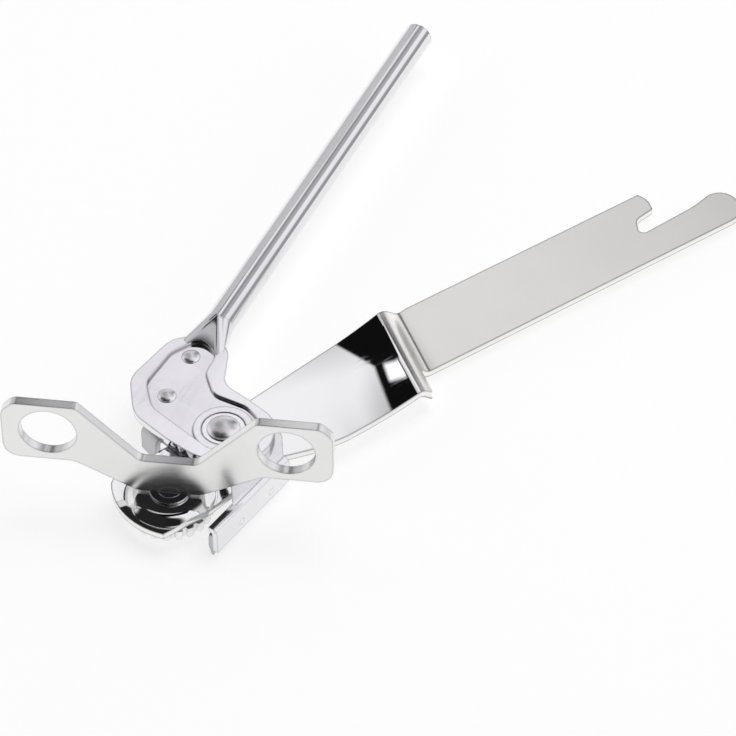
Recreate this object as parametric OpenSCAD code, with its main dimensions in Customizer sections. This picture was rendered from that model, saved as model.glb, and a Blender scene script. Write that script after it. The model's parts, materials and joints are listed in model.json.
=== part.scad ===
// Manual can opener with plier levers, a wing key and a bottle opener hook.
// +X runs along the flat handle, +Z points up to the wing key. The origin is the centre of the
// pivot rivet's flat lower head.

/* [Flat lever] */
// Thickness of the flat lever's sheet
lever_t = 1.8; // [1.5:0.1:2.4]
// Distance from the pivot to the tip of the hook
handle_reach = 160.7; // [145:0.5:175]
// Width of the flat handle
handle_w = 22; // [19:0.5:26]
// Distance from the pivot's line to the handle's far edge
handle_far = 14.6; // [12:0.1:17]
// How far the handle lies below the front part
handle_drop = 3.5; // [1:0.1:5]
// Height of the crest in front of the handle
crest_rise = 1.2; // [0.2:0.1:2]
// Distance from the pivot to the crest
crest_x = 51.5; // [46:0.5:58]
// Angle of the bend lines across the lever
bend_skew = 15; // [0:1:20]
// Width of the notch of the bottle opener
notch_w = 5; // [4:0.2:7]
// Depth of the notch of the bottle opener
notch_depth = 9.5; // [7:0.5:13]

/* [Head] */
// Distance from the pivot to the spindle, along X
spindle_back = 21.4; // [19:0.1:24]
// Distance from the pivot to the spindle, across X
spindle_side = 8.6; // [7:0.1:10]
// Radius of the rounded head
head_r = 18.75; // [17:0.25:20]
// Height of the pressed boss round the spindle
boss_h = 1.6; // [0.8:0.1:2]
// Radius of the boss's flat top
boss_top_r = 7.4; // [6.5:0.1:8]
// Radius at the foot of the boss
boss_foot_r = 11.3; // [10:0.1:11.5]

/* [Feed wheel] */
// Outer radius of the feed wheel
wheel_r = 10.6; // [10:0.1:11]
// Thickness of the toothed rim
wheel_t = 2.7; // [2:0.1:3.5]
// Number of teeth
teeth = 21; // [16:1:26]
// Depth of a tooth gap
tooth_depth = 0.9; // [0.5:0.1:1.3]
// How far the teeth stand out past the head's straight edge
wheel_proud = 0.7; // [0.4:0.1:1.2]
// Radius of the spindle
spindle_r = 3; // [2.5:0.1:3.2]

/* [Wing key] */
// Thickness of the wing key
key_t = 2.5; // [2:0.1:3]
// Overall width of the wing key
key_w = 80.6; // [70:0.2:90]
// Distance between the two finger holes
hole_pitch = 58; // [52:0.5:62]
// Radius of a finger hole
hole_r = 7; // [5:0.1:7.5]
// Height of a wing
wing_h = 18; // [16:0.5:22]
// Height of the web between the wings
web_h = 10.2; // [8:0.1:12]
// Height of the finger holes above the web's lower edge
hole_rise = 17.4; // [15:0.1:20]
// Angle of the key about its spindle
key_turn = -42; // [-90:1:90]

/* [Tube lever] */
// Outer diameter of the tube
tube_d = 7.8; // [7:0.1:9]
// Wall of the tube
tube_wall = 1; // [0.6:0.1:1.5]
// Distance from the pivot to the end of the tube
tube_reach = 157; // [140:1:170]
// Angle between the handles as the part stands
spread = 30.5; // [28:0.5:34]
// Distance from the pivot to the tube's axis
tube_offset = 17.4; // [16:0.1:19]
// Thickness of the pressed head's sheet
cover_t = 1.2; // [0.8:0.1:1.6]
// Height of the raised border round the head
border_h = 0.8; // [0.4:0.1:1]

/* [Jaw] */
// Thickness of the jaw plate
jaw_t = 1.5; // [1.2:0.1:1.8]
// Angle of the jaw's flange from the flat handle
flange_angle = 20; // [18:0.5:22]
// Distance from the pivot to the flange's outer face
flange_out = 18.3; // [17.8:0.1:19]
// Length of the flange
flange_len = 30; // [26:0.5:34]
// Distance of the flange's right end past the pivot
flange_end = 2.5; // [1:0.1:4]
// Depth of the flange below the jaw plate
flange_h = 6.1; // [5:0.1:8]
// Thickness of the cutting blade
blade_t = 1.4; // [1:0.1:1.6]
// Length of the blade
blade_len = 27; // [22:0.5:28]
// How far the blade's point reaches below the flange
blade_point = 1.8; // [1:0.1:2.5]

/* [Pivot] */
// Radius of the pivot rivet
pivot_r = 3; // [2.5:0.1:3.5]
// Radius of the pivot rivet's heads
pivot_head_r = 4.6; // [4:0.1:5]
// Thickness of the pivot rivet's lower head
lower_head_h = 1; // [0.8:0.1:1.5]
// Radius of the jaw rivets
jaw_rivet_r = 1.5; // [1.2:0.1:1.8]
// Radial clearance of a turning fit
run_fit = 0.04; // [0.02:0.01:0.08]
// Gap between faces that slide past each other
face_gap = 0.15; // [0.1:0.05:0.3]

/* [Hidden] */
$fn = 64;
e = 0.01;

// Heights of the stack, from the pivot rivet's lower face upwards
lever_z = lower_head_h;
lever_top = lever_z + lever_t;
jaw_z = lever_top + face_gap;
cover_z = jaw_z + jaw_t;
floor_z = cover_z + cover_t;
border_z = floor_z + border_h;

// Places in plan
spindle_at = [-spindle_back, -spindle_side];
head_at = [-15.2, -6.8];
edge_y = -spindle_side - wheel_r + wheel_proud;
handle_near = handle_far - handle_w;
upper_rivet_at = [7.4, 26];
lower_rivet_at = [-5, 17.9];
stop_pin_at = [-15.2, 2.9];
tube_axis_dir = [cos(spread), sin(spread)];
tube_side_dir = [-sin(spread), cos(spread)];

// ---- outline helpers ----
function unit(v) = v / norm(v);
function xy(p) = [p.x, p.y];

// Points of an arc, each with no further rounding
function arc(c, r, a0, a1, n = 16) =
    [for (i = [0:n]) let (a = a0 + (a1 - a0) * i / n) [c.x + r * cos(a), c.y + r * sin(a), 0]];

// The arc that rounds corner b between points a and c
function corner(a, b, c, r, n = 6) =
    let (u = unit(a - b), v = unit(c - b), half = acos(u * v) / 2,
         o = b + unit(u + v) * r / sin(half),
         p = b + u * r / tan(half) - o, q = b + v * r / tan(half) - o,
         a0 = atan2(p.y, p.x),
         turn = (atan2(q.y, q.x) - a0 + 540) % 360 - 180)
    [for (i = [0:n]) o + r * [cos(a0 + turn * i / n), sin(a0 + turn * i / n)]];

// A closed outline from corners [x, y, radius]
function rounded(pts) =
    let (n = len(pts))
    [for (i = [0:n - 1])
        each pts[i].z == 0 ? [xy(pts[i])]
            : corner(xy(pts[(i + n - 1) % n]), xy(pts[i]), xy(pts[(i + 1) % n]), pts[i].z)];

// A smooth step from 0 to 1 as x goes from x0 to x1
function ease(x, x0, x1) =
    x <= x0 ? 0 : x >= x1 ? 1 : (1 - cos(180 * (x - x0) / (x1 - x0))) / 2;

// A strip of thickness t whose lower face follows level(x), as a closed outline
function strip(pts, t) =
    let (n = len(pts),
         normals = [for (i = [0:n - 1])
             let (d = unit(pts[min(i + 1, n - 1)] - pts[max(i - 1, 0)])) [-d.y, d.x]],
         mids = [for (p = pts) p + [0, t / 2]])
    concat([for (i = [0:n - 1]) mids[i] - normals[i] * t / 2],
           [for (i = [n - 1:-1:0]) mids[i] + normals[i] * t / 2]);

// ---- flat lever ----
crest_start = crest_x - 17;
riser_end = crest_x + 6;
function lever_level(x) =
    crest_rise * pow(max(0, min(1, (x - crest_start) / (crest_x - 1 - crest_start))), 2)
    - (crest_rise + handle_drop) * ease(x, crest_x - 1, riser_end);

lever_path = concat([[-80, 0], [crest_start - 4, 0]],
    [for (i = [0:12]) let (x = crest_start + i * (crest_x - 1 - crest_start) / 12)
        [x, lever_level(x)]],
    [for (i = [1:14]) let (x = crest_x - 1 + i * (riser_end - crest_x + 1) / 14)
        [x, lever_level(x)]],
    [[riser_end + 4, -handle_drop], [handle_reach + 40, -handle_drop]]);

tip_r = 6;
prong_top = handle_near + 2 * tip_r;
notch_x = handle_reach - 20 - notch_depth;
nose_x = handle_reach - 19.4;
notch_y = prong_top - 2.8;
// The nose stands between the notch's edge and the handle's far edge, with its bulge halfway
nose_foot = notch_y + notch_w + 1.2;
nose_mid = (nose_foot + handle_far) / 2;
nose_r = min(4, 0.61 * (handle_far - nose_foot));

lever_corners = concat(
    [[handle_reach, handle_near, tip_r * 0.98],
     [handle_reach, prong_top + 0.4, tip_r * 0.8],
     [handle_reach - 11, prong_top - 2, 30],
     [notch_x, notch_y, 1.4],
     [notch_x + 3, notch_y + notch_w + 0.4, 3],
     [nose_x - 1, nose_foot, 0.4],
     [nose_x, nose_mid, nose_r],
     [nose_x - 0.8, handle_far, 0.5],
     [riser_end + 8, handle_far, 14],
     [crest_x + 3.5, 13.2, 20],
     [14, 7.4, 30],
     [4, 6.2, 20],
     [-10.6, 6.2, 2],
     [-12.6, 5.6, 2],
     [-22, 5, 8],
     [-28.7, 5, 2.5]],
    arc(head_at, head_r, 148.6, 180 + asin((head_at.y - edge_y) / head_r), 14),
    [[-16.8, edge_y, 3],
     [7.4, -13.3, 3],
     [16, -15.8, 12],
     [25, -17, 20],
     [crest_x + 1, -15.7, 1.5],
     [crest_x + 3, handle_near, 1.5]]);

function boss_level(r) = boss_h * (1 - ease(r, boss_top_r, boss_foot_r));
boss_path = concat([[0, boss_h]],
    [for (i = [0:10]) let (r = boss_top_r + i * (boss_foot_r - boss_top_r) / 10)
        [r, boss_level(r)]],
    [[boss_foot_r + 0.3, 0], [boss_foot_r + 1.2, 0]]);

module lever_sheet() {
    rotate([0, 0, -bend_skew])
        rotate([90, 0, 0])
            linear_extrude(height = 120, center = true)
                polygon(strip(lever_path, lever_t));
}

module lever_boss() {
    translate(spindle_at)
        rotate_extrude()
            polygon(strip(boss_path, lever_t));
}

module flat_lever() {
    color([0.85, 0.85, 0.84])
    translate([0, 0, lever_z])
    difference() {
        intersection() {
            translate([0, 0, -20])
                linear_extrude(height = 40)
                    polygon(rounded(lever_corners));
            union() {
                difference() {
                    lever_sheet();
                    translate([spindle_at.x, spindle_at.y, -5])
                        cylinder(r = boss_foot_r + 0.8, h = 12);
                }
                lever_boss();
            }
        }
        translate([0, 0, -5])
            cylinder(r = pivot_r, h = 12);
        translate([spindle_at.x, spindle_at.y, -5])
            cylinder(r = bush_r, h = 12);
        translate([stop_pin_at.x, stop_pin_at.y, -5])
            cylinder(r = stop_shank_r, h = 12);
    }
}

// ---- stop pin, pressed into the flat lever beside the jaw plate's tab ----
stop_head_r = 1.6;
stop_shank_r = 1.1;
stop_head_h = 1.4;

module stop_pin() {
    color([0.9, 0.9, 0.9])
    translate([stop_pin_at.x, stop_pin_at.y, 0]) {
        translate([0, 0, lever_z])
            cylinder(r = stop_shank_r, h = lever_t + e);
        translate([0, 0, lever_top])
            rotate_extrude()
                polygon([[0, 0], [stop_head_r, 0], [stop_head_r, stop_head_h - 0.5],
                         [stop_head_r - 0.5, stop_head_h], [0, stop_head_h]]);
    }
}

// ---- spindle group: bush, shaft, wheel and key ----
bush_r = 4.2;
bush_flange_r = 6;
bush_flange_t = 0.6;
boss_top_z = lever_z + boss_h + lever_t;
boss_under_z = lever_z + boss_h;
wheel_top = lever_z - 0.3;
wheel_z = wheel_top - wheel_t;
hub_top = boss_under_z - bush_flange_t - face_gap;
hub_r = 6;
washer_t = 0.5;
spindle_head_r = 5;
spindle_head_h = 1.2;
wheel_washer_t = 0.5;
key_z = boss_top_z + face_gap + washer_t;
tang_w = 4.8;
tang_h = 4;
slot_fit = 0.02;

module spindle_bush() {
    color([0.8, 0.72, 0.5])
    translate([spindle_at.x, spindle_at.y, 0])
        rotate_extrude()
            polygon([[spindle_r + run_fit, boss_under_z - bush_flange_t],
                     [bush_flange_r, boss_under_z - bush_flange_t],
                     [bush_flange_r, boss_under_z], [bush_r, boss_under_z],
                     [bush_r, boss_top_z], [spindle_r + run_fit, boss_top_z]]);
}

module spindle() {
    color([0.7, 0.7, 0.72])
    translate([spindle_at.x, spindle_at.y, 0])
    difference() {
        union() {
            translate([0, 0, wheel_z - wheel_washer_t - e])
                cylinder(r = spindle_r, h = key_z - wheel_z + wheel_washer_t + e);
            translate([0, 0, wheel_z - wheel_washer_t - spindle_head_h])
                rotate_extrude()
                    polygon([[0, 0], [spindle_head_r - 0.8, 0], [spindle_head_r, 0.8],
                             [spindle_head_r, spindle_head_h], [0, spindle_head_h]]);
        }
        rotate([0, 0, key_turn])
            translate([-spindle_r - 1, -key_t / 2 - slot_fit, key_z - tang_h - slot_fit])
                cube([2 * spindle_r + 2, key_t + 2 * slot_fit, tang_h + 1]);
    }
}

// Gap between two teeth: a flat cut with sloping sides
module tooth_gap() {
    pitch = 360 / teeth;
    outer = wheel_r * sin(pitch * 0.32);
    inner = wheel_r * sin(pitch * 0.14);
    translate([0, 0, -1])
        linear_extrude(height = wheel_t + 2)
            polygon([[wheel_r - tooth_depth, -inner], [wheel_r + 1, -outer * 1.3],
                     [wheel_r + 1, outer * 1.3], [wheel_r - tooth_depth, inner]]);
}

module feed_wheel() {
    color([0.75, 0.75, 0.76])
    translate([spindle_at.x, spindle_at.y, wheel_z])
    difference() {
        union() {
            cylinder(r = wheel_r, h = wheel_t);
            cylinder(r = hub_r, h = hub_top - wheel_z);
        }
        for (i = [0:teeth - 1])
            rotate([0, 0, i * 360 / teeth])
                tooth_gap();
        translate([0, 0, -1])
            cylinder(r = spindle_r + slot_fit, h = hub_top - wheel_z + 2);
    }
}

module ring(outer, inner, t) {
    difference() {
        cylinder(r = outer, h = t);
        translate([0, 0, -1])
            cylinder(r = inner, h = t + 2);
    }
}

module wheel_washer() {
    color([0.8, 0.8, 0.8])
    translate([spindle_at.x, spindle_at.y, wheel_z - wheel_washer_t])
        ring(spindle_head_r + 1, spindle_r + slot_fit, wheel_washer_t);
}

module key_washer() {
    color([0.8, 0.8, 0.8])
    translate([spindle_at.x, spindle_at.y, key_z - washer_t])
        ring(spindle_r + 2, spindle_r + slot_fit, washer_t);
}

wing_w = 18;
wing_corner_r = 4;
wing_top_r = 3;
key_half = key_w / 2;
wing_in = key_half - wing_w;
wing_base = hole_rise - wing_h / 2 - 0.2;
web_half = 8;
right_side = [[web_half, 0, 2], [wing_in + 0.6, wing_base, 6],
              [key_half - 1, wing_base, wing_corner_r], [key_half, wing_base + wing_corner_r, 4],
              [key_half, wing_base + wing_h - wing_top_r, wing_top_r],
              [key_half - wing_top_r, wing_base + wing_h, wing_top_r],
              [wing_in - 0.5, wing_base + wing_h, 2], [web_half - 1, web_h, 3]];
key_corners = concat(right_side, [for (i = [len(right_side) - 1:-1:0])
    [-right_side[i].x, right_side[i].y, right_side[i].z]]);

module wing_key() {
    color([0.9, 0.9, 0.88])
    translate([spindle_at.x, spindle_at.y, key_z])
        rotate([0, 0, key_turn])
            rotate([90, 0, 0])
                translate([0, 0, -key_t / 2])
                    difference() {
                        union() {
                            linear_extrude(height = key_t)
                                polygon(rounded(key_corners));
                            translate([-tang_w / 2, -tang_h, 0])
                                cube([tang_w, tang_h + e, key_t]);
                        }
                        for (s = [-1, 1])
                            translate([s * hole_pitch / 2, hole_rise, -1])
                                cylinder(r = hole_r, h = key_t + 2);
                    }
}

// ---- tube lever: pressed head, neck and tube, one piece of rolled sheet ----
tube_r = tube_d / 2;
tube_z = floor_z - cover_t / 2 + 0.3;
tube_start = 32;
bore_start = tube_start + 4;
function tube_point(d) = d * tube_axis_dir + tube_offset * tube_side_dir;
function at_height(p, z) = [p.x, p.y, z];

cover_corners = [[12.4, -5.5, 8], [10.4, 5, 25], [8.5, 12.6, 5], [16.2, 21.8, 6], [15.2, 30.1, 6],
                 [6.2, 33.5, 7], [-9.6, 28, 8], [-15.6, 17, 9], [-13.6, 5, 20],
                 [-11.4, -2.6, 7], [-6, -12.2, 8], [5.5, -12.4, 8]];
floor_corners = [[8.6, -6.4, 5.5], [8.8, 3, 6], [4.4, 11.5, 5], [7, 18.8, 5], [12.9, 22.4, 3.5],
                 [12.6, 29.6, 3.5], [4, 29.8, 6], [-7, 24.4, 5], [-10.6, 16.4, 7],
                 [-8.6, 5.6, 14], [-6.6, -6.4, 5.5]];
ring_in = 5.6;
ring_out = 7.6;
ring_h = 0.6;

module tube_lever() {
    color([0.88, 0.88, 0.9])
    difference() {
        union() {
            difference() {
                pressed_head();
                translate([0, 0, floor_z])
                    linear_extrude(height = 2 * border_h + 2)
                        polygon(rounded(floor_corners));
            }
            translate([0, 0, cover_z])
                ring(ring_out, ring_in, cover_t + ring_h);
        }
        translate(at_height(tube_point(bore_start), tube_z))
            rotate([0, 90, spread])
                cylinder(r = tube_r - tube_wall, h = tube_reach);
        translate([0, 0, cover_z - 1])
            cylinder(r = pivot_r + run_fit, h = 6);
        for (p = [upper_rivet_at, lower_rivet_at])
            translate(at_height(p, cover_z - 1))
                cylinder(r = jaw_rivet_r, h = 6);
    }
}

// The head without its recess, with the neck and the tube
module pressed_head() {
    translate([0, 0, cover_z])
        linear_extrude(height = cover_t + border_h)
            polygon(rounded(cover_corners));
    neck();
    translate(at_height(tube_point(tube_start), tube_z))
        rotate([0, 90, spread])
            cylinder(r = tube_r, h = tube_reach - tube_start);
}

// The sheet closes from the head's border into the round tube. It ends a hair outside the tube
// and begins a hair inside the border's faces, so that no two faces lie in one plane.
neck_left = [10.4, 30.4];
neck_right = [13.8, 23.8];
neck_corner_r = 1.8;
hair = 0.05;

module neck() {
    hull() {
        for (p = [neck_left, neck_right])
            translate(at_height(p, cover_z + hair))
                cylinder(r = neck_corner_r, h = cover_t + border_h - 2 * hair, $fn = 32);
        translate(at_height(tube_point(tube_start), tube_z))
            rotate([0, 90, spread])
                cylinder(r = tube_r + 2 * hair, h = 1, $fn = 32);
    }
}

// ---- jaw plate with its folded flange and stop tab ----
fold_r = 2;
flange_dir = [cos(flange_angle), sin(flange_angle)];
flange_normal = [sin(flange_angle), -cos(flange_angle)];
function flange_point(along, out) = along * flange_dir + out * flange_normal;
flange_start = flange_end - flange_len;
fold_line = flange_out - fold_r;
tab_x = -15.5;
tab_y = 7.3;
tab_w = 6.4;
tab_h = 5.6;

// A plate edge folded down: the plate's lower face is at 0 and its end at x = 0
module fold(length, drop) {
    rotate([90, 0, 0])
        linear_extrude(height = length)
            polygon(concat(
                [[-0.6, 0], [-0.6, jaw_t]],
                [for (a = [90:-10:0]) [fold_r * cos(a), jaw_t - fold_r + fold_r * sin(a)]],
                [[fold_r, -drop], [fold_r - jaw_t, -drop]],
                [for (a = [0:15:90])
                    [(fold_r - jaw_t) * cos(a), jaw_t - fold_r + (fold_r - jaw_t) * sin(a)]]));
}

jaw_right = flange_point(flange_end, fold_line);
jaw_left = flange_point(flange_end - 21, fold_line);
jaw_corners = [[jaw_right.x, jaw_right.y, 0], [11.6, -8.6, 3], [9.4, 4.6, 20], [7.6, 12.8, 5],
               [12.4, 20.4, 4], [11, 26.4, 4], [5, 30.8, 4], [-7.6, 26.6, 7], [-13.5, 18.4, 3],
               [tab_x + fold_r, tab_y + tab_w, 0], [tab_x + fold_r, tab_y, 0],
               [-11.6, -3.6, 4], [-6, -12, 2], [jaw_left.x, jaw_left.y, 0]];
spindle_room = 13.2;

module jaw_plate() {
    color([0.8, 0.8, 0.81])
    difference() {
        union() {
            translate([0, 0, jaw_z])
                linear_extrude(height = jaw_t)
                    difference() {
                        polygon(rounded(jaw_corners));
                        translate(spindle_at)
                            circle(r = spindle_room);
                    }
            translate([0, 0, jaw_z])
                translate(at_height(flange_point(flange_start, fold_line), 0))
                    rotate([0, 0, flange_angle - 90])
                        translate([0, flange_len, 0])
                            fold(flange_len, flange_h);
            translate([tab_x + fold_r, tab_y, jaw_z])
                rotate([0, 0, 180])
                    fold(tab_w, tab_h);
        }
        translate([0, 0, jaw_z - 1])
            cylinder(r = pivot_r + run_fit, h = 4);
        for (p = [upper_rivet_at, lower_rivet_at])
            translate(at_height(p, jaw_z - 1))
                cylinder(r = jaw_rivet_r, h = 4);
        blade_rivet_holes(jaw_t + 2, flange_out - jaw_t - 1);
    }
}

// ---- cutting blade, riveted to the flange's inner face ----
blade_top = jaw_z - 1.4;
blade_low = jaw_z - flange_h;
blade_tip = blade_low - blade_point;
blade_out = flange_out - jaw_t;
blade_bevel_h = 3;
blade_edge_t = 0.25;
blade_corner_r = 1;
blade_rivet_r = 0.8;
blade_rivet_places = [flange_start + 0.37 * blade_len, flange_start + 0.82 * blade_len];
blade_rivet_z = (blade_top + blade_low) / 2 + 0.2;

// Seen from the side: the point hangs below at the front and runs up to the rear in a curve
blade_side = [[0, blade_tip, 0.3], [0.3, blade_top, blade_corner_r],
              [blade_len, blade_top, blade_corner_r], [blade_len, blade_low, blade_corner_r],
              [0.4 * blade_len, blade_low + 0.3, 8]];

// Seen from the end: ground to an edge on the side that faces the wheel
blade_section = [[0, blade_tip], [0, blade_top + e], [blade_t, blade_top + e],
                 [blade_t, blade_tip + blade_bevel_h], [blade_edge_t, blade_tip]];

module at_flange(along, out) {
    translate(at_height(flange_point(along, out), 0))
        rotate([0, 0, flange_angle])
            children();
}

// Holes run from out, towards the flange's outer side
module blade_rivet_holes(depth, out) {
    for (along = blade_rivet_places)
        at_flange(along, out)
            translate([0, 0, blade_rivet_z])
                rotate([90, 0, 0])
                    cylinder(r = blade_rivet_r, h = depth);
}

module cutting_blade() {
    color([0.35, 0.35, 0.37])
    difference() {
        at_flange(flange_start, blade_out)
            intersection() {
                rotate([90, 0, 0])
                    linear_extrude(height = 2 * blade_t, center = true)
                        polygon(rounded(blade_side));
                rotate([90, 0, 90])
                    linear_extrude(height = blade_len)
                        polygon(blade_section);
            }
        blade_rivet_holes(2 * blade_t + 2, blade_out - blade_t - 1);
    }
}

module blade_rivet(along) {
    color([0.75, 0.75, 0.75])
    at_flange(along, blade_out - blade_t)
        translate([0, 0, blade_rivet_z])
            rotate([90, 0, 0])
                cylinder(r = blade_rivet_r, h = blade_t + jaw_t, $fn = 24);
}

module blade_rivet_front() {
    blade_rivet(blade_rivet_places[0]);
}

module blade_rivet_rear() {
    blade_rivet(blade_rivet_places[1]);
}

// ---- rivets ----
// A shank from z0 to z1 with a domed head on top
module dome_rivet(r, head_r, head_h, z0, z1) {
    translate([0, 0, z0])
        cylinder(r = r, h = z1 - z0 + e);
    translate([0, 0, z1])
        rotate_extrude()
            polygon(concat([[0, 0], [head_r, 0]],
                [for (a = [15:15:90]) [head_r * cos(a), head_h * sin(a)]]));
}

module jaw_rivet(p) {
    color([0.9, 0.9, 0.92])
    translate([p.x, p.y, 0])
        dome_rivet(jaw_rivet_r, 2.4, 0.9, jaw_z, floor_z);
}

module jaw_rivet_upper() {
    jaw_rivet(upper_rivet_at);
}

module jaw_rivet_lower() {
    jaw_rivet(lower_rivet_at);
}

pivot_washer_t = 0.5;
pivot_washer_r = 5.4;

module pivot_washer() {
    color([0.85, 0.85, 0.86])
    translate([0, 0, floor_z])
        ring(pivot_washer_r, pivot_r + run_fit, pivot_washer_t);
}

module pivot_rivet() {
    color([0.9, 0.9, 0.92]) {
        dome_rivet(pivot_r, pivot_head_r - 0.4, 1.5, lever_z,
                   floor_z + pivot_washer_t + face_gap);
        cylinder(r = pivot_head_r, h = lower_head_h);
    }
}

flat_lever();
tube_lever();
jaw_plate();
cutting_blade();
blade_rivet_front();
blade_rivet_rear();
jaw_rivet_upper();
jaw_rivet_lower();
pivot_rivet();
pivot_washer();
stop_pin();
spindle_bush();
spindle();
feed_wheel();
wheel_washer();
key_washer();
wing_key();
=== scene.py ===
import json
import math

import bpy
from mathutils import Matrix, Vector


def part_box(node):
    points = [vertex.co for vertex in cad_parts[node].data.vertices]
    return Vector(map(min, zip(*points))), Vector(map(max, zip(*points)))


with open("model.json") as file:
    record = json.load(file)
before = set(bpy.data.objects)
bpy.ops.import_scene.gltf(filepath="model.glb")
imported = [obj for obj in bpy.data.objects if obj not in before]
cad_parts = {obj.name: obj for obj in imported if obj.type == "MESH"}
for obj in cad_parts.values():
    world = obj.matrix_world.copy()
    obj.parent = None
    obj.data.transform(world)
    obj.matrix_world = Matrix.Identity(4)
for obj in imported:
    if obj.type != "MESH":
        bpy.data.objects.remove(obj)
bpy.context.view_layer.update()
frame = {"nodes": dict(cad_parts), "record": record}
nodes = frame["nodes"]
slots = {m["slot"]: m for m in frame["record"]["materials"]}
print("frame loaded with", len(nodes), "nodes")


# Lengths are in metres and angles in degrees, unless a note says otherwise.

# The camera looks down on the levers from beside the wing key.
cameraSettings = {
    "azimuth": -35.0,
    "elevation": 45.0,
    "distance": 1.0,
    "target": (0.03614, -0.01039, 0.01502),
    "lens": 198.1,  # millimetres
    "clipStart": 0.05,
    "clipEnd": 20,
}


def awayFrom(azimuth, elevation):
    # Unit vector at this azimuth, anticlockwise from -Y seen from above, and elevation.
    a, e = math.radians(azimuth), math.radians(elevation)
    return Vector((math.sin(a) * math.cos(e), -math.cos(a) * math.cos(e), math.sin(e)))


def addObject(name, data):
    ob = bpy.data.objects.new(name, data)
    bpy.context.scene.collection.objects.link(ob)
    return ob


def addCamera(settings):
    data = bpy.data.cameras.new("camera")
    data.lens = settings["lens"]
    data.clip_start = settings["clipStart"]
    data.clip_end = settings["clipEnd"]
    ob = addObject("camera", data)
    back = awayFrom(settings["azimuth"], settings["elevation"])
    ob.location = Vector(settings["target"]) + back * settings["distance"]
    ob.rotation_euler = (-back).to_track_quat("-Z", "Y").to_euler()
    bpy.context.scene.camera = ob


addCamera(cameraSettings)
print("camera set")


# Small helpers for node trees. A source is another node's output, or a plain value.
def addNode(tree, kind, **values):
    node = tree.nodes.new(kind)
    for key, value in values.items():
        setattr(node, key, value)
    return node


def feed(tree, socket, source):
    if isinstance(source, bpy.types.NodeSocket):
        tree.links.new(source, socket)
    else:
        socket.default_value = source


def feedNamed(tree, node, **sources):
    for name, source in sources.items():
        feed(tree, node.inputs[name], source)
    return node


def calculate(tree, operation, *sources):
    node = addNode(tree, "ShaderNodeMath", operation=operation)
    for socket, source in zip(node.inputs, sources):
        feed(tree, socket, source)
    return node.outputs[0]


def product(tree, *sources):
    total = sources[0]
    for source in sources[1:]:
        total = calculate(tree, "MULTIPLY", total, source)
    return total


def mapRange(tree, value, span, result=(0.0, 1.0), smooth=False):
    node = addNode(tree, "ShaderNodeMapRange")
    node.interpolation_type = "SMOOTHSTEP" if smooth else "LINEAR"
    names = ("Value", "From Min", "From Max", "To Min", "To Max")
    for name, source in zip(names, (value, *span, *result)):
        feed(tree, node.inputs[name], source)
    return node.outputs["Result"]


def noise(tree, vector, scale, detail, roughness=0.5, distortion=0.0):
    node = addNode(tree, "ShaderNodeTexNoise")
    feedNamed(tree, node, Vector=vector, Scale=scale, Detail=detail, Roughness=roughness,
              Distortion=distortion)
    return node.outputs["Fac"]


def turned(tree, vector, rotation, scale=(1.0, 1.0, 1.0)):
    node = addNode(tree, "ShaderNodeMapping")
    feedNamed(tree, node, Vector=vector, Rotation=rotation, Scale=scale)
    return node.outputs[0]


def separated(tree, vector):
    node = addNode(tree, "ShaderNodeSeparateXYZ")
    feed(tree, node.inputs[0], vector)
    return node.outputs[0], node.outputs[1], node.outputs[2]


def mixValues(tree, factor, a, b):
    node = addNode(tree, "ShaderNodeMix", data_type="FLOAT")
    for place, source in ((0, factor), (2, a), (3, b)):
        feed(tree, node.inputs[place], source)
    return node.outputs[0]


def mixColours(tree, factor, a, b, blend="MIX"):
    node = addNode(tree, "ShaderNodeMix", data_type="RGBA", blend_type=blend)
    for place, source in ((0, factor), (6, a), (7, b)):
        feed(tree, node.inputs[place], source)
    return node.outputs[2]


def layOut(tree, width=220, height=200):
    # Puts each node at least one column to the left of those that it feeds.
    column = {node.name: 0 for node in tree.nodes}
    moved = True
    while moved:
        moved = False
        for wire in tree.links:
            left, right = wire.from_node.name, wire.to_node.name
            if column[left] <= column[right]:
                column[left] = column[right] + 1
                moved = True
    filled = {}
    for name, place in column.items():
        filled[place] = filled.get(place, 0) + 1
        tree.nodes[name].location = (-width * place, -height * filled[place])


def newGroup(name, inputs, outputs):
    group = bpy.data.node_groups.new(name, "ShaderNodeTree")
    for label, value in inputs.items():
        kind = "NodeSocketVector" if value is None else "NodeSocketFloat"
        socket = group.interface.new_socket(label, in_out="INPUT", socket_type=kind)
        if value is not None:
            socket.default_value = value
    for label, kind in outputs.items():
        group.interface.new_socket(label, in_out="OUTPUT", socket_type=kind)
    start, end = addNode(group, "NodeGroupInput"), addNode(group, "NodeGroupOutput")
    return group, start.outputs, end


def placeGroup(tree, group, **sources):
    return feedNamed(tree, addNode(tree, "ShaderNodeGroup", node_tree=group), **sources).outputs


# Fine parallel grain left by grinding, with the strokes along the vector's first axis.
def grainGroup(length, scale, detail, roughness):
    group, given, end = newGroup(
        "metalGrain", {"Vector": None, "Length": length, "Scale": scale},
        {"Grain": "NodeSocketFloat"})
    x, y, z = separated(group, given["Vector"])
    join = addNode(group, "ShaderNodeCombineXYZ")
    feedNamed(group, join, X=calculate(group, "DIVIDE", x, given["Length"]), Y=y, Z=z)
    scaled = addNode(group, "ShaderNodeVectorMath", operation="SCALE")
    feed(group, scaled.inputs[0], join.outputs[0])
    feed(group, scaled.inputs["Scale"], given["Scale"])
    feedNamed(group, end, Grain=noise(group, scaled.outputs[0], 1.0, detail, roughness))
    layOut(group)
    return group


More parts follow.
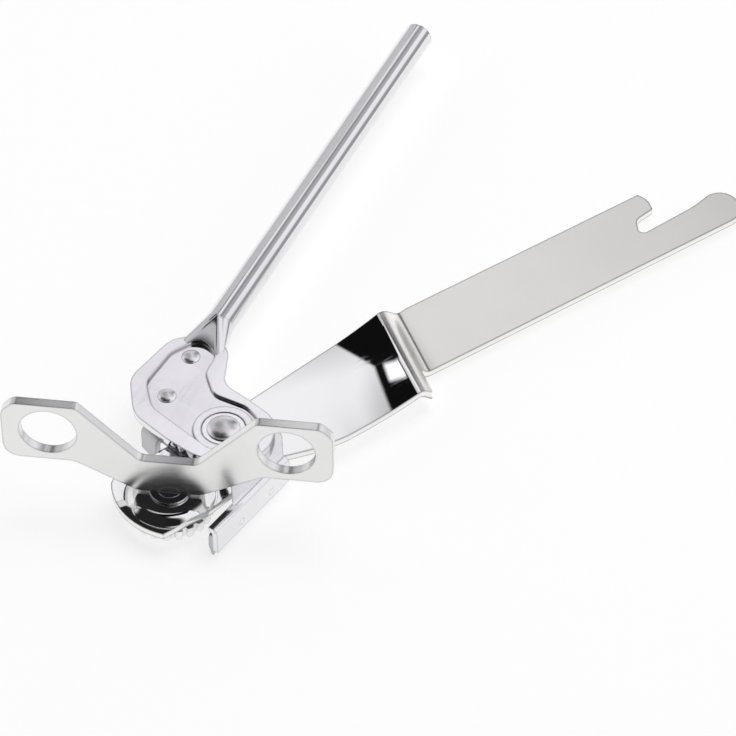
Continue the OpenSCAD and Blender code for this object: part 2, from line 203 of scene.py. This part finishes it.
# Faint cloudy haze of handling and a few crossing hairline scratches.
handlingSettings = {
    "cloudDetail": 4.0,
    "cloudDistortion": 0.6,
    "haze": (0.35, 0.75),
    "scratched": (0.5, 0.7),
    "scratchDetail": 1.0,
    "scratchLevel": 0.5,  # a scratch runs where the noise crosses this
    "scratchWidth": 0.006,
    "scratches": (((0.0, 0.1, 0.5), 0.03),  # rotation in radians, scale along the scratch
                  ((0.2, 0.1, -0.9), 0.04),
                  ((0.4, 0.1, 1.7), 0.025)),
}


def handlingGroup(cloudScale, scratchScale, settings):
    group, given, end = newGroup(
        "handling", {"Vector": None, "Cloud": cloudScale, "Scratch": scratchScale},
        {"Haze": "NodeSocketFloat", "Hairlines": "NodeSocketFloat"})
    cloud = noise(group, given["Vector"], given["Cloud"], settings["cloudDetail"],
                  distortion=settings["cloudDistortion"])
    crossing = 0.0
    for rotation, stretch in settings["scratches"]:
        vector = turned(group, given["Vector"], rotation, (stretch, 1.0, 1.0))
        field = noise(group, vector, given["Scratch"], settings["scratchDetail"])
        off = calculate(group, "SUBTRACT", field, settings["scratchLevel"])
        off = calculate(group, "ABSOLUTE", off)
        line = mapRange(group, off, (0.0, settings["scratchWidth"]), (1.0, 0.0))
        crossing = calculate(group, "MAXIMUM", crossing, line)
    scratched = mapRange(group, cloud, settings["scratched"])
    feedNamed(group, end, Haze=mapRange(group, cloud, settings["haze"], smooth=True),
              Hairlines=product(group, crossing, scratched))
    layOut(group)
    return group


# Convex edges, where plating is rubbed brighter.
def edgeGroup(low, high):
    group, given, end = newGroup("edgeWear", {"Low": low, "High": high},
                                 {"Edge": "NodeSocketFloat"})
    pointed = addNode(group, "ShaderNodeNewGeometry").outputs["Pointiness"]
    feedNamed(group, end, Edge=mapRange(group, pointed, (given["Low"], given["High"])))
    layOut(group)
    return group


# Thin painted shade in the creases of a pressing, and a painted dark reflection along its rims
# where the plating turns away.
def paintedDarkeningGroup(depth, rim, reach, openness, samples):
    group, given, end = newGroup("paintedCreaseAndRimDarkening", {"Depth": depth, "Rim": rim, "Reach": reach},
                                 {"Shade": "NodeSocketColor"})
    shades = []
    for label, inside in (("Depth", False), ("Rim", True)):
        shadow = addNode(group, "ShaderNodeAmbientOcclusion", samples=samples, inside=inside,
                         only_local=True)
        feedNamed(group, shadow, Distance=given["Reach"])
        hidden = mapRange(group, shadow.outputs["AO"], openness, (1.0, 0.0), smooth=True)
        shades.append(calculate(group, "SUBTRACT", 1.0, product(group, hidden, given[label])))
    both = product(group, *shades)
    grey = addNode(group, "ShaderNodeCombineColor")
    for socket in grey.inputs:
        feed(group, socket, both)
    feedNamed(group, end, Shade=grey.outputs[0])
    layOut(group)
    return group


metalGrain = grainGroup(length=12.0, scale=1200.0, detail=3.0, roughness=0.6)
handling = handlingGroup(cloudScale=60.0, scratchScale=260.0, settings=handlingSettings)
edgeWear = edgeGroup(low=0.52, high=0.6)
paintedCreaseAndRimDarkening = paintedDarkeningGroup(depth=0.35, rim=0.0, reach=0.0007, openness=(0.45, 0.95), samples=8)
print("shared effects made")


# What every metal here starts from. Each piece below changes some of it.
bareMetal = {
    "grainAngle": 0,
    "grainLength": 12.0,
    "grainScale": 1500.0,
    "grainSpan": (0.3, 0.7),
    "cloudScale": 60.0,
    "scratchScale": 260.0,
    "scratchDepth": -0.4,
    "hazeShade": 0.94,
    "edgeLow": 0.52,
    "edgeHigh": 0.6,
    "edge": 0.5,
    "edgeLight": 1.12,
    # Strengths of the painted crease shade and the painted dark rim reflection.
    "creaseShade": 0.35,
    "rim": 0.0,
    "creaseReach": 0.0007,
    "waveScale": 45.0,
    "waveDetail": 1.0,
    "waveRoughness": 0.4,
    "roundSamples": 6,
    "colour": None,  # the slot's own colour
    "shape": None,
    "mask": None,
}

# Fine specks where a finish has a matt part.
fleck = {"scale": 2500.0, "detail": 2.0, "roughness": 0.6, "span": (0.3, 0.7)}


def metalColour(tree, settings, marks, mattMask):
    base = settings["colour"] or slots[settings["slot"]]["base_color"][:3]
    hazed = [c * settings["hazeShade"] for c in base]
    rubbed = [min(1.0, c * settings["edgeLight"]) for c in base]
    edges = placeGroup(tree, edgeWear, Low=settings["edgeLow"], High=settings["edgeHigh"])
    # Painted shade in the creases and a painted dark reflection along the rims, multiplied into
    # the colour.
    paintedDarkening = placeGroup(tree, paintedCreaseAndRimDarkening, Depth=settings["creaseShade"], Rim=settings["rim"],
                         Reach=settings["creaseReach"])
    colour = mixColours(tree, marks["Haze"], (*base, 1), (*hazed, 1))
    worn = product(tree, edges["Edge"], settings["edge"])
    colour = mixColours(tree, worn, colour, (*rubbed, 1))
    colour = mixColours(tree, 1.0, colour, paintedDarkening["Shade"], "MULTIPLY")
    if mattMask:
        colour = mixColours(tree, mattMask, colour, (*settings["mattShade"], 1), "MULTIPLY")
    return colour


def metalRoughness(tree, settings, strokes, marks, mattMask, position):
    rough = mapRange(tree, strokes["Grain"], settings["grainSpan"],
                     (settings["roughLow"], settings["roughHigh"]))
    for mark, share in (("Haze", settings["haze"]), ("Hairlines", settings["hairlines"])):
        rough = calculate(tree, "ADD", rough, product(tree, marks[mark], share))
    if mattMask:
        flecks = noise(tree, position, fleck["scale"], fleck["detail"], fleck["roughness"])
        matt = mapRange(tree, flecks, fleck["span"],
                        (settings["mattLow"], settings["mattHigh"]))
        rough = mixValues(tree, mattMask, rough, matt)
    return rough


def bumped(tree, height, distance, normal):
    node = addNode(tree, "ShaderNodeBump")
    feedNamed(tree, node, Strength=1.0, Distance=distance, Height=height, Normal=normal)
    return node.outputs[0]


def metalNormal(tree, settings, strokes, marks, along, position):
    waves = noise(tree, along, settings["waveScale"], settings["waveDetail"],
                  settings["waveRoughness"])
    height = calculate(tree, "ADD", product(tree, strokes["Grain"], settings["grainDepth"]),
                       product(tree, marks["Hairlines"], settings["scratchDepth"]))
    height = calculate(tree, "ADD", height, product(tree, waves, settings["wave"]))
    bevel = addNode(tree, "ShaderNodeBevel", samples=settings["roundSamples"])
    feedNamed(tree, bevel, Radius=settings["round"])
    normal = bumped(tree, height, settings["bump"], bevel.outputs[0])
    if settings["shape"]:
        normal = bumped(tree, settings["shape"](tree, position), 1.0, normal)
    return normal


def metal(name, settings):
    # Metal with ground grain, haze, hairlines, bright edges, painted shade in the creases and a
    # painted dark reflection along the rims.
    mat = bpy.data.materials.new(name)
    mat.use_nodes = True
    tree = mat.node_tree
    tree.nodes.clear()
    position = addNode(tree, "ShaderNodeTexCoord").outputs["Object"]
    along = turned(tree, position, (0, 0, math.radians(-settings["grainAngle"])))
    strokes = placeGroup(tree, metalGrain, Vector=along, Length=settings["grainLength"],
                         Scale=settings["grainScale"])
    marks = placeGroup(tree, handling, Vector=along, Cloud=settings["cloudScale"],
                       Scratch=settings["scratchScale"])
    mattMask = settings["mask"](tree, position) if settings["mask"] else None

    shader = addNode(tree, "ShaderNodeBsdfPrincipled")
    shader.inputs["Metallic"].default_value = 1.0
    feed(tree, shader.inputs["Base Color"], metalColour(tree, settings, marks, mattMask))
    feed(tree, shader.inputs["Roughness"],
         metalRoughness(tree, settings, strokes, marks, mattMask, position))
    feed(tree, shader.inputs["Normal"],
         metalNormal(tree, settings, strokes, marks, along, position))
    out = addNode(tree, "ShaderNodeOutputMaterial")
    feed(tree, out.inputs["Surface"], shader.outputs[0])
    layOut(tree)
    return mat


# Facets of the curved faces are shaded smooth. The weld joins only points that coincide.
smoothing = {"weld": 0.000002, "sharpAngle": 16}


def smoothTree(settings):
    # Geometry nodes that drop the mesh's own normals and keep edges above the sharp angle.
    tree = bpy.data.node_groups.new("smoothFaces", "GeometryNodeTree")
    for direction in ("INPUT", "OUTPUT"):
        tree.interface.new_socket("Geometry", in_out=direction,
                                  socket_type="NodeSocketGeometry")
    angle = addNode(tree, "GeometryNodeInputMeshEdgeAngle")
    sharp = addNode(tree, "FunctionNodeCompare", data_type="FLOAT", operation="GREATER_THAN")
    feed(tree, sharp.inputs[0], angle.outputs["Unsigned Angle"])
    feed(tree, sharp.inputs[1], math.radians(settings["sharpAngle"]))

    start, end = addNode(tree, "NodeGroupInput"), addNode(tree, "NodeGroupOutput")
    plain = addNode(tree, "GeometryNodeRemoveAttribute")
    plain.inputs["Name"].default_value = "custom_normal"
    welded = addNode(tree, "GeometryNodeMergeByDistance")
    welded.inputs["Distance"].default_value = settings["weld"]
    smooth = addNode(tree, "GeometryNodeSetShadeSmooth", domain="FACE")
    edged = addNode(tree, "GeometryNodeSetShadeSmooth", domain="EDGE")
    edged.inputs["Shade Smooth"].default_value = False
    feed(tree, edged.inputs["Selection"], sharp.outputs[0])
    chain = (start, plain, welded, smooth, edged, end)
    for before, after in zip(chain, chain[1:]):
        feed(tree, after.inputs[0], before.outputs[0])
    layOut(tree)
    return tree


smoothFaces = smoothTree(smoothing)


def dress(nodeName, settings):
    ob = nodes[nodeName]
    ob.modifiers.new("smoothFaces", "NODES").node_group = smoothFaces
    ob.data.materials.clear()
    ob.data.materials.append(metal(nodeName + "Finish", settings))


# Three finishes that the pieces share.
polished = {**bareMetal, "roughLow": 0.045, "roughHigh": 0.075, "haze": 0.03,
            "hairlines": 0.08, "bump": 0.000004, "wave": 2.5, "round": 0.00022,
            "grainDepth": 0.05}
mirror = {**polished, "roughLow": 0.012, "roughHigh": 0.02, "haze": 0.012,
          "hairlines": 0.04, "bump": 0.000002, "wave": 0.6}
satin = {**bareMetal, "roughLow": 0.2, "roughHigh": 0.3, "haze": 0.05, "hairlines": 0.08,
         "bump": 0.000005, "wave": 1.0, "round": 0.00025, "grainDepth": 0.6}


# Flat lever: mirror plating up to the crest, and a blasted satin handle strip behind it.
leverBends = {
    "skew": 15,  # of the bend lines
    "rise": (0.004, 0.03),
    "satin": (0.0503, 0.0513),
    "riser": (0.0505, 0.0575),
    "crown": 3.7,  # curvature across the lever, in 1/m
    "crownCentre": (0.046, -0.002),
}


def acrossLever(tree, position):
    # Distances along and across the lever, square to its bend lines.
    skew = math.radians(leverBends["skew"])
    return separated(tree, turned(tree, position, (0, 0, skew)))[:2]


def leverShape(tree, position):
    # Shades the sheet as slightly crowned across its width, where it rises to the crest.
    x, y = acrossLever(tree, position)
    skew = math.radians(leverBends["skew"])
    crownX, crownY = leverBends["crownCentre"]
    off = calculate(tree, "SUBTRACT", y, crownY * math.cos(skew) + crownX * math.sin(skew))
    bow = product(tree, off, off, -0.5 * leverBends["crown"])
    rise = mapRange(tree, x, leverBends["rise"], smooth=True)
    fall = mapRange(tree, x, leverBends["riser"], (1.0, 0.0), smooth=True)
    return product(tree, bow, rise, fall)


def handleMask(tree, position):
    return mapRange(tree, acrossLever(tree, position)[0], leverBends["satin"], smooth=True)


# The lever's rims carry a strong painted dark reflection.
flatLever = {**mirror, "slot": "lever_plating", "cloudScale": 45, "shape": leverShape,
             "mask": handleMask, "mattLow": 0.22, "mattHigh": 0.25,
             "mattShade": (1.05, 1.04, 1.01), "rim": 0.6}
dress("flat_lever", flatLever)
print("flat lever finished")


# Tube lever: bright plating with painted shade in the creases round the pressed border, and a
# painted dark reflection along its rims.
tubeLever = {**polished, "slot": "tube_plating", "grainAngle": 30.5, "roughLow": 0.05,
             "roughHigh": 0.09, "creaseShade": 0.55, "rim": 0.3, "colour": (0.79, 0.785, 0.805)}
dress("tube_lever", tubeLever)
print("tube lever finished")


# Jaw plate: duller plating, with a stop tab that is rougher and coloured darker.
stopTab = {"left": (-0.0125, -0.0118), "back": (0.0, 0.001)}


def tabMask(tree, position):
    x, y = separated(tree, position)[:2]
    return product(tree, mapRange(tree, x, stopTab["left"], (1.0, 0.0)),
                   mapRange(tree, y, stopTab["back"]))


# Its rims get a painted dark reflection.
jawPlate = {**polished, "slot": "jaw_plating", "grainAngle": 20, "roughLow": 0.1,
            "roughHigh": 0.16, "rim": 0.2, "colour": (0.78, 0.78, 0.8), "mask": tabMask,
            "mattLow": 0.3, "mattHigh": 0.4, "mattShade": (0.6, 0.6, 0.6)}
dress("jaw_plate", jawPlate)
print("jaw plate finished")


# Blade: bare steel with finer grain than the rest.
cuttingBlade = {**satin, "slot": "blade_steel", "grainAngle": 110, "grainScale": 2600}
dress("cutting_blade", cuttingBlade)
print("blade finished")


# Rivets, pivot washer and stop pin. The rivet heads that face up get a lighter colour: painted
# light.
rivet = {**satin, "slot": "rivet_steel"}
litRivetHead = {**rivet, "roughLow": 0.24, "colour": (0.87, 0.865, 0.88)}
bladeRivetFront = {**rivet, "cloudScale": 400}
bladeRivetRear = {**rivet, "cloudScale": 420}
jawRivetUpper = {**litRivetHead, "cloudScale": 300}
jawRivetLower = {**litRivetHead, "cloudScale": 320}
pivotRivet = {**litRivetHead, "cloudScale": 240, "roughLow": 0.26}
pivotWasher = {**polished, "slot": "rivet_steel", "cloudScale": 260}
stopPin = {**polished, "slot": "rivet_steel", "cloudScale": 500}
dress("blade_rivet_front", bladeRivetFront)
dress("blade_rivet_rear", bladeRivetRear)
dress("jaw_rivet_upper", jawRivetUpper)
dress("jaw_rivet_lower", jawRivetLower)
dress("pivot_rivet", pivotRivet)
dress("pivot_washer", pivotWasher)
dress("stop_pin", stopPin)
print("rivets, pivot washer and stop pin finished")


# Spindle with its bush and washers, and the toothed wheel.
spindleBush = {**satin, "slot": "spindle_steel", "roughLow": 0.12, "roughHigh": 0.2}
spindle = {**polished, "slot": "spindle_steel", "cloudScale": 300}
feedWheel = {**satin, "slot": "wheel_steel", "roughLow": 0.18, "cloudScale": 200,
             "colour": (0.84, 0.84, 0.84)}
wheelWasher = {**satin, "slot": "spindle_steel", "cloudScale": 260}
keyWasher = {**mirror, "slot": "spindle_steel", "cloudScale": 280}
dress("spindle_bush", spindleBush)
dress("spindle", spindle)
dress("feed_wheel", feedWheel)
dress("wheel_washer", wheelWasher)
dress("key_washer", keyWasher)
print("spindle and wheel finished")


# Wing key: even satin plating with hardly any grain, painted shade in its creases and a painted
# dark reflection along its rims.
wingKey = {**satin, "slot": "key_plating", "grainAngle": -42, "roughLow": 0.22,
           "roughHigh": 0.25, "grainDepth": 0.06, "bump": 0.000003, "wave": 0.3, "haze": 0.02,
           "hairlines": 0.03, "creaseShade": 0.2, "rim": 0.25, "colour": (0.76, 0.76, 0.75)}
dress("wing_key", wingKey)
print("wing key finished")


# Studio: pale floor, cards for the plating to mirror, one soft light and a white tent.
plainSurface = {"roughness": 1.0, "specular": 0.1, "glow": 0.0}
floorPaper = {**plainSurface, "colour": (0.4, 0.4, 0.4), "roughness": 0.7, "glow": 1.72}
darkCard = {**plainSurface, "colour": (0.003, 0.003, 0.003)}
greyCard = {**plainSurface, "colour": (0.4, 0.4, 0.4), "glow": 0.7}
floorSettings = {"halfSide": 3, "drop": 0.0003}  # drop keeps it just clear of the object


def plainMaterial(name, settings):
    mat = bpy.data.materials.new(name)
    mat.use_nodes = True
    inputs = mat.node_tree.nodes["Principled BSDF"].inputs
    inputs["Base Color"].default_value = (*settings["colour"], 1)
    inputs["Roughness"].default_value = settings["roughness"]
    inputs["Specular IOR Level"].default_value = settings["specular"]
    inputs["Emission Color"].default_value = (*settings["colour"], 1)
    inputs["Emission Strength"].default_value = settings["glow"]
    return mat


def flatSheet(name, corners, mat):
    mesh = bpy.data.meshes.new(name)
    mesh.from_pydata(corners, [], [tuple(range(len(corners)))])
    mesh.materials.append(mat)
    return addObject(name, mesh)


def addFloor(settings):
    lowest = min(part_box(n)[0].z for n in nodes)
    side = settings["halfSide"]
    corners = [(-side, -side, 0), (side, -side, 0), (side, side, 0), (-side, side, 0)]
    floor = flatSheet("floor", corners, plainMaterial("floorPaper", floorPaper))
    floor.location.z = lowest - settings["drop"]


addFloor(floorSettings)
print("floor laid")


# Where the lever's flat part mirrors the view to, and two axes across that direction.
mirrored = Vector((0.4056, 0.5792, 0.7071))
first = Vector((-0.9124, 0.3036, 0.2746))
second = Vector((-0.0556, -0.7565, 0.6516))

# Each card hangs at a distance from its start, with corners in millimetres on the two axes.
dark = plainMaterial("darkCard", darkCard)
grey = plainMaterial("greyCard", greyCard)
behind = {"start": (0.045, 0.0, 0.003), "distance": 0.3, "towards": mirrored}
overheadCard = {"start": (-0.028, -0.018, 0.005), "distance": 0.1,
                "towards": awayFrom(145, 76), "surface": dark,
                "corners": [(-30, -20), (-30, 20), (30, 20), (30, -20)]}
headCard = {**behind, "surface": dark,
            "corners": [(71, 15), (71, 42), (104, 42), (104, 11), (92, 10.5), (86, 9),
                        (80, 11.5)]}
edgeCard = {**behind, "surface": dark, "corners": [(59, 16), (59, 27), (62, 27), (62, 16)]}
tubeCard = {**behind, "surface": grey,
            "corners": [(-40, -34), (16, -34), (24, -56), (85, -56), (85, -140), (-40, -140)]}


def hangingCard(name, settings):
    middle = Vector(settings["start"]) + settings["towards"] * settings["distance"]
    points = [middle + first * u / 1000 + second * v / 1000 for u, v in settings["corners"]]
    ob = flatSheet(name, points, settings["surface"])
    ob.visible_camera = False
    ob.visible_diffuse = False
    ob.visible_shadow = False


hangingCard("overheadCard", overheadCard)
hangingCard("headCard", headCard)
hangingCard("edgeCard", edgeCard)
hangingCard("tubeCard", tubeCard)
print("cards hung")


overheadLight = {"azimuth": 100, "elevation": 82, "target": (0.03, 0.0, 0.0),
                 "distance": 1.2, "size": (0.8, 0.8), "power": 4}


def areaLight(name, settings):
    data = bpy.data.lights.new(name, "AREA")
    data.shape = "RECTANGLE"
    data.size, data.size_y = settings["size"]
    data.energy = settings["power"]
    ob = addObject(name, data)
    direction = awayFrom(settings["azimuth"], settings["elevation"])
    ob.location = Vector(settings["target"]) + direction * settings["distance"]
    ob.rotation_euler = direction.to_track_quat("Z", "Y").to_euler()
    ob.visible_glossy = False


areaLight("overheadLight", overheadLight)
print("light set")


# The tent is a little darker towards the floor. Round darker patches lie in it, each in
# one direction, and later ones lie over earlier ones.
tent = {
    "heights": (-0.1, 0.6),
    "levels": (0.8, 1.02),
    "tint": (0.985, 0.975, 1.01),
    "patches": [
        # azimuth, elevation, inner angle, outer angle, brightness
        (172, 64, 13, 22, 0.6),
        (-49, 45, 34, 46, 0.015),
        (-115, 62, 20, 30, 0.02),
        (74, 8, 8, 15, 0.38),
        (118, 50, 6, 11, 0.35),
        (100, 46, 5, 10, 0.48),
        (167, 12, 10, 20, 0.66),
        (161, 29, 6, 12, 0.5),
        (131, 36, 6, 9, 0.02),
        (126, 29, 6, 9, 0.03),
        (121, 20, 6, 9, 0.05),
    ],
}

# The panel that the lever's crest mirrors: a dark square with a slanting side, a window in
# it, and a faded part. Places on it are the two parts of a unit direction along the axes.
crestPanel = {
    "ahead": (0.7, 0.75),
    "corner": 0.122,
    "slant": 1.09,
    "far": -0.18,
    "farSoft": 0.03,
    "near": 0.2,
    "end": 0.33,
    "soft": 0.006,
    "darkLevel": 0.005,
    "windowStart": 0.153,
    "windowFar": 0.0,
    "windowNear": 0.05,
    "windowLevel": 1.2,
    "fade": (0.0, -0.12),
    "fadeStart": -0.08,
    "fadeSoft": 0.05,
    "fadeLevel": 0.62,
}


def facing(tree, sky, direction):
    node = addNode(tree, "ShaderNodeVectorMath", operation="DOT_PRODUCT")
    feed(tree, node.inputs[0], sky)
    node.inputs[1].default_value = direction
    return node.outputs["Value"]


def above(tree, value, limit, soft=crestPanel["soft"]):
    return mapRange(tree, value, (limit - soft, limit + soft))


def below(tree, value, limit, soft=crestPanel["soft"]):
    return mapRange(tree, value, (limit - soft, limit + soft), (1.0, 0.0))


def panelParts(tree, sky, panel):
    # Masks of the faded part, the dark square and the window, each with its brightness.
    u, v = facing(tree, sky, first), facing(tree, sky, second)
    ahead = mapRange(tree, facing(tree, sky, mirrored), panel["ahead"])
    end = below(tree, u, panel["end"])
    lean = product(tree, calculate(tree, "MINIMUM", v, 0.0), panel["slant"])
    slanting = calculate(tree, "SUBTRACT", u, lean)
    faded = product(tree, ahead, mapRange(tree, v, panel["fade"]),
                    above(tree, u, panel["fadeStart"], panel["fadeSoft"]))
    square = product(tree, ahead, above(tree, slanting, panel["corner"]), end,
                     above(tree, v, panel["far"], panel["farSoft"]),
                     below(tree, v, panel["near"]))
    window = product(tree, ahead, above(tree, u, panel["windowStart"]), end,
                     above(tree, v, panel["windowFar"]), below(tree, v, panel["windowNear"]))
    return ((faded, panel["fadeLevel"]), (square, panel["darkLevel"]),
            (window, panel["windowLevel"]))


def addWorld(settings, panel):
    world = bpy.data.worlds.new("studio")
    world.use_nodes = True
    bpy.context.scene.world = world
    tree = world.node_tree
    sky = addNode(tree, "ShaderNodeTexCoord").outputs["Generated"]
    level = mapRange(tree, facing(tree, sky, (0, 0, 1)), settings["heights"],
                     settings["levels"], smooth=True)
    for azimuth, elevation, inner, outer, brightness in settings["patches"]:
        near = facing(tree, sky, awayFrom(azimuth, elevation))
        span = (math.cos(math.radians(outer)), math.cos(math.radians(inner)))
        level = mixValues(tree, mapRange(tree, near, span, smooth=True), level, brightness)
    for mask, brightness in panelParts(tree, sky, panel):
        level = mixValues(tree, mask, level, brightness)
    colour = addNode(tree, "ShaderNodeCombineColor")
    for socket, share in zip(colour.inputs, settings["tint"]):
        feed(tree, socket, product(tree, level, share))
    background = tree.nodes["Background"]
    background.inputs["Strength"].default_value = 1.0
    feed(tree, background.inputs["Color"], colour.outputs[0])
    layOut(tree)


addWorld(tent, crestPanel)
bpy.context.scene.view_settings.view_transform = "Standard"
bpy.context.scene.view_settings.look = "None"
print("studio set")
